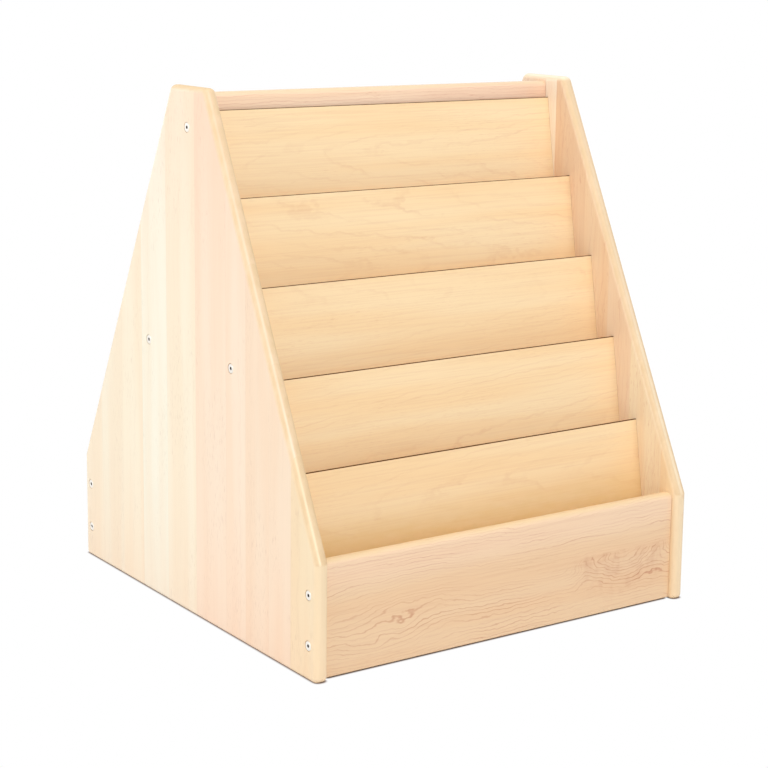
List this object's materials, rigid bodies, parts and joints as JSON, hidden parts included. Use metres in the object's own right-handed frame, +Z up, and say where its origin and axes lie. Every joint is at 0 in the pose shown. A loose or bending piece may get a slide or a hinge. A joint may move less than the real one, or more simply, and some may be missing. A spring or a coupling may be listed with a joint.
{
  "type": "book display shelf",
  "caption": "Free-standing wooden book display: sloping side panels carry leaning panels stepped up the front and the back, whose pockets hold books face out.",
  "frame": {"origin": "on the floor, under the middle of the display", "axes": "+Z up, the front looks towards -Y, +X to the right when looking at the front"},
  "size_m": [0.61, 0.638, 0.712],
  "materials": {
    "side_maple": "clear satin lacquer on edge-glued maple",
    "board_maple": "clear satin lacquer on solid maple",
    "panel_maple": "clear satin lacquer on maple veneer over a dark core",
    "ledge_maple": "sanded maple, thin clear coat",
    "bright_zinc": "bright zinc plate"
  },
  "bodies": {
    "root": {"side_panel_left": "side_maple", "side_panel_right": "side_maple", "top_rail": "board_maple", "lip_board_front": "board_maple", "lip_board_back": "board_maple", "display_panel_front_1": "panel_maple", "display_panel_front_2": "panel_maple", "display_panel_front_3": "panel_maple", "display_panel_front_4": "panel_maple", "display_panel_front_5": "panel_maple", "display_panel_back_1": "panel_maple", "display_panel_back_2": "panel_maple", "display_panel_back_3": "panel_maple", "display_panel_back_4": "panel_maple", "display_panel_back_5": "panel_maple", "ledge_front_1": "ledge_maple", "ledge_front_2": "ledge_maple", "ledge_front_3": "ledge_maple", "ledge_front_4": "ledge_maple", "ledge_front_5": "ledge_maple", "ledge_back_1": "ledge_maple", "ledge_back_2": "ledge_maple", "ledge_back_3": "ledge_maple", "ledge_back_4": "ledge_maple", "ledge_back_5": "ledge_maple", "screw_left_rail": "bright_zinc", "screw_left_ledge_front": "bright_zinc", "screw_left_ledge_back": "bright_zinc", "screw_left_lip_front_upper": "bright_zinc", "screw_left_lip_front_lower": "bright_zinc", "screw_left_lip_back_upper": "bright_zinc", "screw_left_lip_back_lower": "bright_zinc", "screw_right_rail": "bright_zinc", "screw_right_ledge_front": "bright_zinc", "screw_right_ledge_back": "bright_zinc", "screw_right_lip_front_upper": "bright_zinc", "screw_right_lip_front_lower": "bright_zinc", "screw_right_lip_back_upper": "bright_zinc", "screw_right_lip_back_lower": "bright_zinc"}
  },
  "joints": []
}
